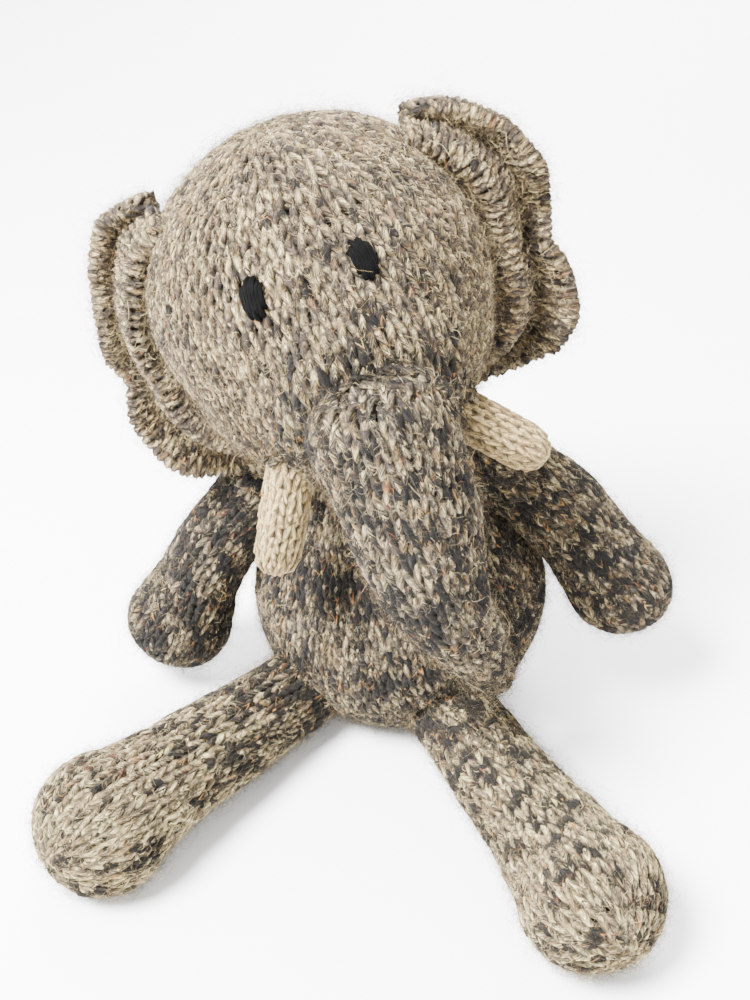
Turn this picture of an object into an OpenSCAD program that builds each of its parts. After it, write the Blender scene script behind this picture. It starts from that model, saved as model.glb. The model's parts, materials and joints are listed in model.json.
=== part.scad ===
// Hand-knitted elephant, sitting on its flat base, facing -Y.
// Every knitted piece is a closed skin around its own ball of stuffing. Limbs end in a
// round root that sits in a dimple of the torso or head, held by a ring of seam yarn.
// The elephant's own left is +X.

/* [Torso] */
// Radius of the belly
belly_r = 48; // [44:0.5:54]
// Height of the belly's centre above the seat, as a share of its radius
belly_lift = 0.83; // [0.75:0.01:0.92]
// Radius of the rounded neck end
neck_r = 22; // [18:0.5:26]
// Distance from the belly's centre to the centre of the neck end
neck_rise = 50; // [44:1:60]
// How far the torso leans to its own right, in degrees
lean = 9.5; // [0:0.5:15]

/* [Head] */
// Radius of the crown
crown_r = 50.5; // [46:0.5:56]
// Radius of the chin end
chin_r = 47; // [42:0.5:50]
// Distance from the crown's centre down to the chin's centre
chin_drop = 14; // [8:1:24]
// How far the head is tipped to its own right, in degrees
head_roll = 18; // [0:1:25]
// How far the face is turned to its own left, in degrees
head_yaw = 8; // [-10:1:15]
// How deep the neck end sinks into the head
neck_sink = 5; // [4:0.5:8]
// Height of an eye
eye_h = 12; // [8:0.5:15]
// Width of an eye
eye_w = 7.5; // [5:0.5:10]
// Thickness of an eye's embroidery
eye_t = 1.2; // [0.8:0.1:2]

/* [Trunk] */
// Radius of the trunk at the face
trunk_root_r = 20; // [16:0.5:22]
// Radius of the trunk at its middle bend
trunk_bend_r = 15.5; // [12:0.5:17]
// Radius of the trunk's closed tip
trunk_tip_r = 8.5; // [6:0.5:11]
// Length from the face to the middle bend
trunk_base_len = 42; // [36:1:50]
// Length from the middle bend to the centre of the tip
trunk_tip_len = 62; // [50:1:66]

/* [Tusks] */
// Radius of a tusk
tusk_r = 5.8; // [4.5:0.1:6.5]
// Length of a tusk between the centres of its round ends
tusk_len = 27; // [20:1:34]

/* [Ears] */
// Radius of the ear's upper lobe
ear_upper_r = 24; // [20:0.5:27]
// Radius of the ear's lower lobe
ear_lower_r = 22; // [18:0.5:25]
// Thickness of the knitted ear
ear_t = 7; // [5:0.5:8]
// Height of the ear's ruffles to each side
ruffle = 4.5; // [2:0.5:6]

/* [Arms] */
// Radius of an arm at the shoulder
arm_root_r = 11.5; // [9:0.5:12.5]
// Radius of an arm at the wrist
wrist_r = 12.5; // [10:0.5:14]
// Radius of a hand
hand_r = 15.5; // [14.5:0.5:19]
// Length from the shoulder to the centre of the hand
arm_len = 67; // [56:1:72]

/* [Legs] */
// Radius of a leg at the hip
leg_root_r = 12.5; // [10:0.5:14]
// Radius of a leg at the ankle
ankle_r = 13.5; // [11:0.5:15]
// Radius of a foot
foot_r = 19.5; // [17:0.5:23]
// Length from the hip to the centre of the foot
leg_len = 84; // [70:1:96]

/* [Knitting] */
// Thickness of the knitted skins
skin_t = 2.6; // [2:0.2:3.4]
// Thickness of the tusks' finer knitting
tusk_skin_t = 1.8; // [1.4:0.2:2.2]
// Radius of the seam yarn
yarn_r = 0.8; // [0.6:0.1:1]
// Space between a limb's round root and its dimple
root_gap = 2.2; // [2:0.1:3]
// Space between the two halves of the trunk's bend
bend_gap = 1; // [0.6:0.1:1.6]
// Space between a skin and its stuffing
stuffing_gap = 0.3; // [0.2:0.1:0.6]

/* [Hidden] */
$fn = 48;

tweed = "#b3a894";
cream_tweed = "#ddd2b4";
cream = "#d8c49e";
black = "#1d1f1d";
fibre = "#f3f1ea";

LEFT = 1;
RIGHT = -1;
arc_step = 10;
big = 400;

// ---- Places ----

function unit(v) = v / norm(v);

// A vector turned about Y, so that +Z leans to -X
function tip_right(v, a) = [v.x * cos(a) - v.z * sin(a), v.y, v.x * sin(a) + v.z * cos(a)];
function turn(v, a) = [v.x * cos(a) - v.y * sin(a), v.x * sin(a) + v.y * cos(a), v.z];

belly_z = belly_r * belly_lift;
belly_c = [0, 0, belly_z];
function from_torso(v) = belly_c + tip_right(v, lean);
neck_c = from_torso([0, 0, neck_rise]);

// The chin rests on the neck end, a little left of and behind the face
neck_dir = unit([-14, -9, 63]);
// The chin is never fuller than the crown, so the ears' seams stay clear of it
jaw_r = min(chin_r, crown_r - 3.5);
chin_c = neck_c + neck_dir * (neck_r + jaw_r - neck_sink);
head_c = chin_c + tip_right([0, 0, chin_drop], head_roll);
function from_head(v) = head_c + tip_right(turn(v, head_yaw), head_roll);
module in_head() { translate(head_c) rotate([0, -head_roll, 0]) rotate([0, 0, head_yaw]) children(); }

// Direction in the head's frame: azimuth from the face towards the left ear, then height
function face_dir(az, lat) = [cos(lat) * sin(az), -cos(lat) * cos(az), sin(lat)];

eye_az = 18.7;
eye_lat = 21.5;
trunk_out = 8.4;
trunk_c = from_head([0, 0, -chin_drop] + (jaw_r + trunk_out) * face_dir(5, -12));
bend_c = trunk_c + trunk_base_len * unit([13, -12, -38]);
trunk_end_c = bend_c + trunk_tip_len * unit([22, 14, -58]);

// The tusks leave the face just outside the trunk's root
tusk_lat = -30;
tusk_out = 1.5;
tusk_az = asin((trunk_root_r + tusk_r + 3) / (jaw_r + tusk_out));
function tusk_c(side) = from_head([0, 0, -chin_drop] + (jaw_r + tusk_out)
    * face_dir(side * tusk_az, tusk_lat));
// The left tusk was put a little higher than the right one
function tusk_dir(side) = unit(side == LEFT ? [18, -6, -13] : [-15, -5, -26]);
function tusk_end_c(side) = tusk_c(side)
    + tusk_len * tip_right(turn(tusk_dir(side), head_yaw), head_roll);

// The ear hangs on a straight line beside the head, clear of its seam
ear_clear = 5.5;
ear_y = 4;
ear_x = crown_r + ear_clear;

// The shoulders stand out by the arm's own radius, so that a hanging arm clears the belly
arm_out = arm_root_r;
taper = asin((belly_r - neck_r) / neck_rise);
shoulder_rise = neck_rise + 1;
shoulder_x = (belly_r + arm_out - shoulder_rise * sin(taper)) / cos(taper);
function shoulder_c(side) = from_torso([side * shoulder_x, 0, shoulder_rise]);
// Each arm hangs where it was put: the left one lies a little further out
function arm_dir(side) = unit(side == LEFT ? [48, -13, -46] : [-34, -4, -56]);
function hand_c(side) = shoulder_c(side) + arm_len * arm_dir(side);

leg_out = 5;
hip_z = leg_root_r + 3.5;
hip_reach = sqrt(pow(belly_r + leg_out, 2) - pow(belly_z - hip_z, 2));
function hip_angle(side) = side == LEFT ? -67 : -139;
function hip_c(side) = [hip_reach * cos(hip_angle(side)), hip_reach * sin(hip_angle(side)), hip_z];
function leg_angle(side) = side == LEFT ? -65 : -133;
leg_rise = foot_r + 0.4 - hip_z;
leg_run = sqrt(leg_len * leg_len - leg_rise * leg_rise);
function foot_c(side) = hip_c(side)
    + [leg_run * cos(leg_angle(side)), leg_run * sin(leg_angle(side)), leg_rise];

// ---- Shapes ----

// Moves a shape that stands on +Z so that it points from p to q
module aim(p, q) {
    d = q - p;
    translate(p) rotate([0, acos(d.z / norm(d)), atan2(d.y, d.x)]) children();
}

// Outline points of a round end: centre height z, radius r, from angle a to b
function arc(z, r, a, b) = let (n = ceil((b - a) / arc_step))
    [for (i = [0:n]) let (t = a + (b - a) * i / n) [max(0, r * cos(t)), z + r * sin(t)]];

// Two balls joined by the cone that touches both, shrunk by k
module tapered(r0, r1, length, k = 0) {
    a = asin((r0 - r1) / length);
    rotate_extrude() polygon(concat(arc(0, r0 - k, -90, a), arc(length, r1 - k, a, 90)));
}

// A limb: round root, slim tube and a fuller round end, shrunk by k
module limb(root_r, slim_r, end_r, length, k = 0) {
    a = -acos((slim_r - k) / (end_r - k));
    rotate_extrude() polygon(concat(arc(0, root_r - k, -90, 0), arc(length, end_r - k, a, 90)));
}

// Ball-shaped dimple at c for a round root, its poles turned away from the dimple's wall
module socket(c, inward, r) {
    aim(c, c + inward) rotate([90, 0, 0]) sphere(r);
}

// Ring of seam yarn on a ball at c, around the direction d, at the polar angle a
module seam_ring(c, d, ball_r, a) {
    ring_r = ball_r + root_gap / 2;
    aim(c, c + d) translate([0, 0, ring_r * cos(a)])
        rotate_extrude() translate([ring_r * sin(a), 0]) circle(yarn_r, $fn = 24);
}

// ---- Whole shapes, shrunk by k: the skin is one minus the other ----

module torso_shape(k) {
    difference() {
        translate(belly_c) rotate([0, -lean, 0]) tapered(belly_r, neck_r, neck_rise, k);
        translate([-big / 2, -big / 2, k - big]) cube(big);
        for (side = [LEFT, RIGHT]) {
            socket(shoulder_c(side), belly_c - shoulder_c(side), arm_root_r + root_gap + k);
            socket(hip_c(side), belly_c - hip_c(side), leg_root_r + root_gap + k);
        }
    }
}

module head_shape(k) {
    difference() {
        in_head() translate([0, 0, -chin_drop]) tapered(jaw_r, crown_r, chin_drop, k);
        socket(neck_c, neck_dir, neck_r + root_gap + k);
        socket(trunk_c, head_c - trunk_c, trunk_root_r + root_gap + k);
        for (side = [LEFT, RIGHT])
            socket(tusk_c(side), head_c - tusk_c(side), tusk_r + root_gap + k);
    }
}

module trunk_base_shape(k) {
    difference() {
        aim(trunk_c, bend_c) tapered(trunk_root_r, trunk_bend_r, trunk_base_len, k);
        translate(bend_c) sphere(trunk_bend_r + bend_gap + k);
        aim(bend_c, trunk_c) translate([-big / 2, -big / 2, k + 2 - big]) cube(big);
    }
}

module trunk_tip_shape(k) {
    aim(bend_c, trunk_end_c) tapered(trunk_bend_r, trunk_tip_r, trunk_tip_len, k);
}

module tusk_shape(side, k) {
    aim(tusk_c(side), tusk_end_c(side)) tapered(tusk_r, tusk_r - 0.3, tusk_len, k);
}

module arm_shape(side, k) {
    aim(shoulder_c(side), hand_c(side)) limb(arm_root_r, wrist_r, hand_r, arm_len, k);
}

module leg_shape(side, k) {
    aim(hip_c(side), foot_c(side)) limb(leg_root_r, ankle_r, foot_r, leg_len, k);
}

// ---- Torso ----

module torso_skin() {
    color(tweed) difference() {
        torso_shape(0);
        torso_shape(skin_t);
    }
}

module torso_stuffing() {
    color(fibre) torso_shape(skin_t + stuffing_gap);
}

module neck_seam() {
    color(tweed) seam_ring(neck_c, neck_dir, neck_r, 38);
}

// ---- Head ----

module head_skin() {
    color(tweed) difference() {
        head_shape(0);
        head_shape(skin_t);
    }
}

module head_stuffing() {
    color(fibre) head_shape(skin_t + stuffing_gap);
}

// A flat oval of black yarn on the head's surface
module eye(side) {
    color(black) in_head() {
        d = face_dir(side * eye_az, eye_lat);
        aim([0, 0, 0], d) translate([0, 0, crown_r + 0.1]) linear_extrude(eye_t) {
            for (y = [-1, 1]) translate([y * (eye_h - eye_w) / 2, 0]) circle(d = eye_w);
            square([eye_h - eye_w, eye_w], center = true);
        }
    }
}
module left_eye() { eye(LEFT); }
module right_eye() { eye(RIGHT); }

// ---- Ears ----

// Section through an ear, seen along its hinge line: a ruffled ribbon
function ruffle_y(x) = ruffle * sin((x - ear_x) * 14) * min(1, abs(x - ear_x) / 8);
function ribbon(x0, x1, t) = let (n = 16) concat(
    [for (i = [0:n]) let (x = x0 + (x1 - x0) * i / n) [x, ruffle_y(x) - t / 2]],
    [for (i = [n:-1:0]) let (x = x0 + (x1 - x0) * i / n) [x, ruffle_y(x) + t / 2]]);

module ear(side) {
    color(tweed) in_head() mirror([side == LEFT ? 0 : 1, 0, 0]) difference() {
        intersection() {
            translate([0, ear_y, -60]) linear_extrude(120)
                polygon(ribbon(crown_r - 22, ear_x + 24, ear_t));
            translate([0, 30, 0]) rotate([90, 0, 0]) linear_extrude(60) {
                translate([crown_r - 3, 16]) circle(ear_upper_r);
                translate([crown_r + 3.5, -26]) circle(ear_lower_r);
            }
        }
        translate([0, 0, -chin_drop]) tapered(jaw_r + ear_clear, crown_r + ear_clear, chin_drop);
    }
}
module left_ear() { ear(LEFT); }
module right_ear() { ear(RIGHT); }

module ear_seam(side) {
    color(tweed) in_head() mirror([side == LEFT ? 0 : 1, 0, 0]) translate([0, ear_y, 0])
        rotate([90, 0, 0]) rotate([0, 0, -2]) rotate_extrude(angle = 44)
            translate([crown_r + stuffing_gap + yarn_r, 0]) circle(yarn_r, $fn = 24);
}
module left_ear_seam() { ear_seam(LEFT); }
module right_ear_seam() { ear_seam(RIGHT); }

// ---- Trunk ----

module trunk_base_skin() {
    color(tweed) difference() {
        trunk_base_shape(0);
        trunk_base_shape(skin_t);
    }
}

module trunk_base_stuffing() {
    color(fibre) trunk_base_shape(skin_t + stuffing_gap);
}

module trunk_tip_skin() {
    color(tweed) difference() {
        trunk_tip_shape(0);
        trunk_tip_shape(skin_t);
    }
}

module trunk_tip_stuffing() {
    color(fibre) trunk_tip_shape(skin_t + stuffing_gap);
}

module trunk_seam() {
    color(tweed) seam_ring(trunk_c, trunk_c - bend_c, trunk_root_r, 42);
}

// ---- Tusks ----

module tusk_skin(side) {
    color(cream) difference() {
        tusk_shape(side, 0);
        tusk_shape(side, tusk_skin_t);
    }
}
module left_tusk_skin() { tusk_skin(LEFT); }
module right_tusk_skin() { tusk_skin(RIGHT); }

module tusk_stuffing(side) {
    color(fibre) tusk_shape(side, tusk_skin_t + stuffing_gap);
}
module left_tusk_stuffing() { tusk_stuffing(LEFT); }
module right_tusk_stuffing() { tusk_stuffing(RIGHT); }

module tusk_seam(side) {
    color(cream) seam_ring(tusk_c(side), tusk_c(side) - tusk_end_c(side), tusk_r, 55);
}
module left_tusk_seam() { tusk_seam(LEFT); }
module right_tusk_seam() { tusk_seam(RIGHT); }

// ---- Arms ----

module arm_skin(side) {
    color(tweed) difference() {
        arm_shape(side, 0);
        arm_shape(side, skin_t);
    }
}
module left_arm_skin() { arm_skin(LEFT); }
module right_arm_skin() { arm_skin(RIGHT); }

module arm_stuffing(side) {
    color(fibre) arm_shape(side, skin_t + stuffing_gap);
}
module left_arm_stuffing() { arm_stuffing(LEFT); }
module right_arm_stuffing() { arm_stuffing(RIGHT); }

module shoulder_seam(side) {
    color(tweed) seam_ring(shoulder_c(side), -arm_dir(side), arm_root_r, 42);
}
module left_shoulder_seam() { shoulder_seam(LEFT); }
module right_shoulder_seam() { shoulder_seam(RIGHT); }

// ---- Legs ----

module leg_skin(side) {
    color(cream_tweed) difference() {
        leg_shape(side, 0);
        leg_shape(side, skin_t);
    }
}
module left_leg_skin() { leg_skin(LEFT); }
module right_leg_skin() { leg_skin(RIGHT); }

module leg_stuffing(side) {
    color(fibre) leg_shape(side, skin_t + stuffing_gap);
}
module left_leg_stuffing() { leg_stuffing(LEFT); }
module right_leg_stuffing() { leg_stuffing(RIGHT); }

module hip_seam(side) {
    color(cream_tweed) seam_ring(hip_c(side), hip_c(side) - foot_c(side), leg_root_r, 52);
}
module left_hip_seam() { hip_seam(LEFT); }
module right_hip_seam() { hip_seam(RIGHT); }

torso_skin();
torso_stuffing();
neck_seam();
head_skin();
head_stuffing();
left_eye();
right_eye();
left_ear();
right_ear();
left_ear_seam();
right_ear_seam();
trunk_base_skin();
trunk_base_stuffing();
trunk_tip_skin();
trunk_tip_stuffing();
trunk_seam();
left_tusk_skin();
left_tusk_stuffing();
left_tusk_seam();
right_tusk_skin();
right_tusk_stuffing();
right_tusk_seam();
left_arm_skin();
left_arm_stuffing();
left_shoulder_seam();
right_arm_skin();
right_arm_stuffing();
right_shoulder_seam();
left_leg_skin();
left_leg_stuffing();
left_hip_seam();
right_leg_skin();
right_leg_stuffing();
right_hip_seam();
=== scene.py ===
"""Looks of a hand-knitted tweed elephant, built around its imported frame. Metres, +Z up, face towards -Y."""

import json
import math

import bpy
import numpy as np
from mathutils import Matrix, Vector


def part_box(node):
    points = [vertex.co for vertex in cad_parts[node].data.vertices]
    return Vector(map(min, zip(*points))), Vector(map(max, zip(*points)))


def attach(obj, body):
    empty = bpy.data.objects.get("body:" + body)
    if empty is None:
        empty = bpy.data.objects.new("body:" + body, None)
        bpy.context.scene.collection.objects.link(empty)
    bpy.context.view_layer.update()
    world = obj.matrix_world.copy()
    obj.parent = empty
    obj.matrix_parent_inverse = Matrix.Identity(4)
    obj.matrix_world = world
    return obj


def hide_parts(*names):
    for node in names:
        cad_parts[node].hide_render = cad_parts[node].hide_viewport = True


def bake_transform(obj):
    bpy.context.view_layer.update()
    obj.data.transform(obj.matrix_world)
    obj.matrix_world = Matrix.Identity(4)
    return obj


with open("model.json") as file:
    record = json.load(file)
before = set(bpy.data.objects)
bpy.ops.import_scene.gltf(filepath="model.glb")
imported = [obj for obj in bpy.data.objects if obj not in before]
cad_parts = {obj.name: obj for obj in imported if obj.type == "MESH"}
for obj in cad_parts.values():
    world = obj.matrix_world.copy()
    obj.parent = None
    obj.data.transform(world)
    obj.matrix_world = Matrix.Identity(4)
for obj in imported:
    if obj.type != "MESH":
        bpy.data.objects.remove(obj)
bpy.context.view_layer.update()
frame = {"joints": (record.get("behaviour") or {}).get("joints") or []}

# ---- Camera, floor and light ----
# The toy is seen from in front and 35 degrees above, near enough for strong perspective.
# It sits on a plain white sweep, in a bright surround, with a soft lamp high on its right.
# A second, broader lamp stands behind it.
CAMERA_AIM = Vector((-0.009, -0.004, 0.080))
CAMERA_HEIGHT_ANGLE = math.radians(35)
CAMERA_DISTANCE = 0.400
LENS_MM = 41.8
LAMP_AIM = Vector((0, 0, 0.08))
SWEEP_SIZE = 6
SWEEP_WHITE = (0.97, 0.97, 0.97, 1)
SWEEP_ROUGHNESS = 0.7
SURROUND_COLOR = (0.98, 0.99, 1.0, 1)
SURROUND_STRENGTH = 2.6


def add_camera():
    cam_data = bpy.data.cameras.new("camera")
    cam_data.lens = LENS_MM
    cam_data.clip_start = 0.01
    camera = bpy.data.objects.new("camera", cam_data)
    bpy.context.scene.collection.objects.link(camera)
    back = Vector((0, -math.cos(CAMERA_HEIGHT_ANGLE), math.sin(CAMERA_HEIGHT_ANGLE)))
    camera.location = CAMERA_AIM + back * CAMERA_DISTANCE
    camera.rotation_mode = "QUATERNION"
    camera.rotation_quaternion = (-back).to_track_quat("-Z", "Y")
    bpy.context.scene.camera = camera


def add_area_lamp(name, position, size, power):
    lamp_data = bpy.data.lights.new(name, "AREA")
    lamp_data.shape = "DISK"
    lamp_data.size = size
    lamp_data.energy = power
    lamp = bpy.data.objects.new(name, lamp_data)
    lamp.location = position
    lamp.rotation_mode = "QUATERNION"
    lamp.rotation_quaternion = (LAMP_AIM - lamp.location).to_track_quat("-Z", "Y")
    bpy.context.scene.collection.objects.link(lamp)


def add_floor():
    bpy.ops.mesh.primitive_plane_add(size=SWEEP_SIZE)
    floor = bpy.context.active_object
    floor.name = "floor"
    material = bpy.data.materials.new("pale_sweep")
    material.use_nodes = True
    shader = material.node_tree.nodes["Principled BSDF"]
    shader.inputs["Base Color"].default_value = SWEEP_WHITE
    shader.inputs["Roughness"].default_value = SWEEP_ROUGHNESS
    floor.data.materials.append(material)


def add_surround():
    world = bpy.data.worlds.new("surround")
    world.use_nodes = True
    background = world.node_tree.nodes["Background"]
    background.inputs["Color"].default_value = SURROUND_COLOR
    background.inputs["Strength"].default_value = SURROUND_STRENGTH
    bpy.context.scene.world = world


add_camera()
add_floor()
add_surround()
add_area_lamp("key_lamp", position=(-0.45, -0.35, 0.9), size=0.40, power=98.0)
add_area_lamp("back_lamp", position=(0.25, 1.4, 1.1), size=1.4, power=110.0)

# ---- Torso ----
# A pear-shaped bag of stockinette in aran tweed, stuffed firmly and sat on its flattened seat.
# Knitted in the round as one spiral from the seat to the neck, and dimpled where the limbs are sewn on.
# The wool is two plies with dark runs, which lie along the courses because colour follows the yarn's length.
STITCH_W = 0.0052
ROW_H = 0.0040
YARN_R = 0.00120
# Turns of the plies, in radians for each metre of yarn
TWIST = 800.0
# Colours that every ball of this tweed shares, and the black that painted shadow between the stitches mixes
# in
WARM_WOOL = (0.30, 0.185, 0.062)
PALE_WOOL = (0.68, 0.57, 0.37)
HAIR_BROWN = (0.014, 0.009, 0.0065)
PAINTED_SHADOW_BLACK = (0.005, 0.004, 0.0035)
NEP_RUST = (0.13, 0.045, 0.020)
NEP_TAN = (0.36, 0.17, 0.05)
NEP_YELLOW = (0.55, 0.43, 0.17)
NEP_BLACK = (0.015, 0.014, 0.014)
# Wool scatters light at all angles and has almost no gloss
WOOL_ROUGHNESS = 0.95
WOOL_GLOSS = 0.12
WOOL_SHEEN = 0.06
WOOL_SHEEN_ROUGHNESS = 0.5
WOOL_SHEEN_TINT = (0.9, 0.85, 0.78, 1)
NOISE_KNOTS = 4096


def new_group(name, inputs, outputs):
    group = bpy.data.node_groups.new(name, "ShaderNodeTree")
    for socket, kind in inputs:
        group.interface.new_socket(socket, in_out="INPUT", socket_type=kind)
    for socket, kind in outputs:
        group.interface.new_socket(socket, in_out="OUTPUT", socket_type=kind)
    return group, group.nodes.new("NodeGroupInput"), group.nodes.new("NodeGroupOutput")


def add_math(tree, operation, a, b=None, clamp=False):
    node = tree.nodes.new("ShaderNodeMath")
    node.operation = operation
    node.use_clamp = clamp
    for socket, value in zip(node.inputs, (a, b)):
        if isinstance(value, (int, float)):
            socket.default_value = value
        elif value is not None:
            tree.links.new(value, socket)
    return node.outputs[0]


def add_vector(tree, x, y, z=0.0):
    node = tree.nodes.new("ShaderNodeCombineXYZ")
    for socket, value in zip(node.inputs, (x, y, z)):
        if isinstance(value, (int, float)):
            socket.default_value = value
        else:
            tree.links.new(value, socket)
    return node.outputs[0]


def add_noise(tree, vector, detail=2.0, roughness=0.5):
    node = tree.nodes.new("ShaderNodeTexNoise")
    node.inputs["Scale"].default_value = 1.0
    node.inputs["Detail"].default_value = detail
    node.inputs["Roughness"].default_value = roughness
    tree.links.new(vector, node.inputs["Vector"])
    return node.outputs["Fac"]


def add_range(tree, value, low, high, out_low=0.0, out_high=1.0):
    node = tree.nodes.new("ShaderNodeMapRange")
    node.interpolation_type = "SMOOTHSTEP"
    sockets = ("From Min", "From Max", "To Min", "To Max")
    for socket, number in zip(sockets, (low, high, out_low, out_high)):
        node.inputs[socket].default_value = number
    tree.links.new(value, node.inputs["Value"])
    return node.outputs["Result"]


def add_mix(tree, factor, a, b):
    node = tree.nodes.new("ShaderNodeMix")
    node.data_type = "RGBA"
    for socket, value in ((node.inputs[0], factor), (node.inputs[6], a), (node.inputs[7], b)):
        if isinstance(value, (int, float)):
            socket.default_value = value
        elif isinstance(value, tuple):
            socket.default_value = (*value, 1)
        else:
            tree.links.new(value, socket)
    return node.outputs[2]


def tweed_group():
    """Colour and relief of tweed yarn, from its length (x) and the way round it (y) in the yarn map."""
    group, source, sink = new_group(
        "tweed_yarn",
        [
            ("Yarn", "NodeSocketVector"),
            ("Light", "NodeSocketColor"),
            ("Grey", "NodeSocketColor"),
            ("Dark", "NodeSocketColor"),
            ("Dark Share", "NodeSocketFloat"),
            ("Depth", "NodeSocketFloat"),
            ("Nep Share", "NodeSocketFloat"),
        ],
        [("Color", "NodeSocketColor"), ("Height", "NodeSocketFloat")],
    )
    split = group.nodes.new("ShaderNodeSeparateXYZ")
    group.links.new(source.outputs["Yarn"], split.inputs[0])
    length, around = split.outputs[0], split.outputs[1]
    seed = add_math(group, "FLOOR", around)
    round_it = add_math(group, "MULTIPLY", around, 2 * math.pi)
    angle = add_math(group, "ADD", round_it, add_math(group, "MULTIPLY", length, TWIST))
    # Points on the twisted surface of the yarn, so that fibres run slantwise along it
    cosine = add_math(group, "COSINE", angle)
    seed_shift = add_math(group, "MULTIPLY", seed, 7.0)
    sine = add_math(group, "ADD", add_math(group, "SINE", angle), seed_shift)

    def along(scale, width=0.0, shift=0.0):
        """Where a noise is read: cells to a metre of yarn, cells across it, and a shift to part the reads."""
        x = add_math(group, "MULTIPLY", length, scale)
        if width == 0.0:
            return add_vector(group, x, seed, shift)
        y = add_math(group, "MULTIPLY", cosine, width)
        z = add_math(group, "ADD", add_math(group, "MULTIPLY", sine, width), shift)
        return add_vector(group, x, y, z)

    fibre = add_noise(group, along(240.0, 1.35), 4.0, 0.72)
    hairs = add_noise(group, along(260.0, 2.1, 4.0), 2.0, 0.65)
    off_line = add_math(group, "ABSOLUTE", add_math(group, "SUBTRACT", hairs, 0.5))
    hair_line = add_range(group, off_line, 0.0, 0.062, 1.0, 0.0)
    # The wool's own shades: pale, greyer and warmer lengths of a few centimetres
    tone = add_noise(group, along(150.0, 0.0, 9.1), 3.0, 0.65)
    base = add_mix(group, add_range(group, tone, 0.45, 0.55), source.outputs["Grey"], source.outputs["Light"])
    warm = add_noise(group, along(120.0, 0.5, 2.7), 2.0)
    base = add_mix(group, add_range(group, warm, 0.50, 0.62, 0.0, 0.75), base, WARM_WOOL)
    base = add_mix(group, add_range(group, fibre, 0.46, 0.62, 0.0, 0.85), base, source.outputs["Grey"])
    base = add_mix(group, add_range(group, fibre, 0.34, 0.44, 0.55, 0.0), base, PALE_WOOL)
    base = add_mix(group, hair_line, base, HAIR_BROWN)
    # Dark runs, flecks and single dark fibres
    runs = add_noise(group, along(36.0, 0.0, 3.3), 3.0, 0.65)
    bias = add_math(group, "ADD", runs, source.outputs["Dark Share"])
    flecks = add_noise(group, along(300.0, 1.9, 7.7), 2.0, 0.6)
    run_level = add_math(group, "ADD", bias, add_math(group, "MULTIPLY", fibre, 0.22))
    dark_run = add_range(group, run_level, 0.655, 0.715)
    fleck_level = add_math(group, "ADD", flecks, add_math(group, "MULTIPLY", bias, 0.45))
    dark_fleck = add_range(group, fleck_level, 0.775, 0.82)
    dark = add_math(group, "MAXIMUM", add_math(group, "MULTIPLY", dark_run, 0.99), dark_fleck)
    pale_hair = add_range(group, hairs, 0.60, 0.68, 1.0, 0.80)
    mixed = add_mix(group, add_math(group, "MULTIPLY", dark, pale_hair), base, source.outputs["Dark"])
    # Neps: small lumps of rust, tan, pale yellow and black fibre
    nep_noise = add_noise(group, along(120.0, 0.8, 5.7), 0.0)
    nep = add_range(group, add_math(group, "ADD", nep_noise, source.outputs["Nep Share"]), 0.74, 0.77)
    hue = add_noise(group, along(45.0, 0.0, 21.0), 0.0)
    nep_color = add_mix(group, add_range(group, hue, 0.47, 0.50), NEP_RUST, NEP_TAN)
    nep_color = add_mix(group, add_range(group, hue, 0.56, 0.59), nep_color, NEP_YELLOW)
    nep_color = add_mix(group, add_range(group, hue, 0.38, 0.41, 1.0, 0.0), nep_color, NEP_BLACK)
    mixed = add_mix(group, nep, mixed, nep_color)
    # Painted shade: the colour is mixed towards black, standing for shadow on the inward side of the yarn, at
    # seams and on the sheet under the knitting
    unshaded_share = add_math(group, "POWER", add_math(group, "SUBTRACT", 1.0, source.outputs["Depth"], True), 2.2)
    deep = add_mix(group, unshaded_share, PAINTED_SHADOW_BLACK, mixed)
    group.links.new(deep, sink.inputs["Color"])
    ply_wave = add_math(group, "COSINE", add_math(group, "MULTIPLY", angle, 2.0))
    plies = add_math(group, "MULTIPLY", ply_wave, 0.40)
    height = add_math(group, "ADD", plies, fibre)
    height = add_math(group, "SUBTRACT", height, add_math(group, "MULTIPLY", hair_line, 0.35))
    height = add_math(group, "ADD", height, add_math(group, "MULTIPLY", flecks, 0.8))
    group.links.new(height, sink.inputs["Height"])
    return group


TWEED = tweed_group()


def add_attribute(tree, name):
    node = tree.nodes.new("ShaderNodeAttribute")
    node.attribute_name = name
    return node


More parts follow.
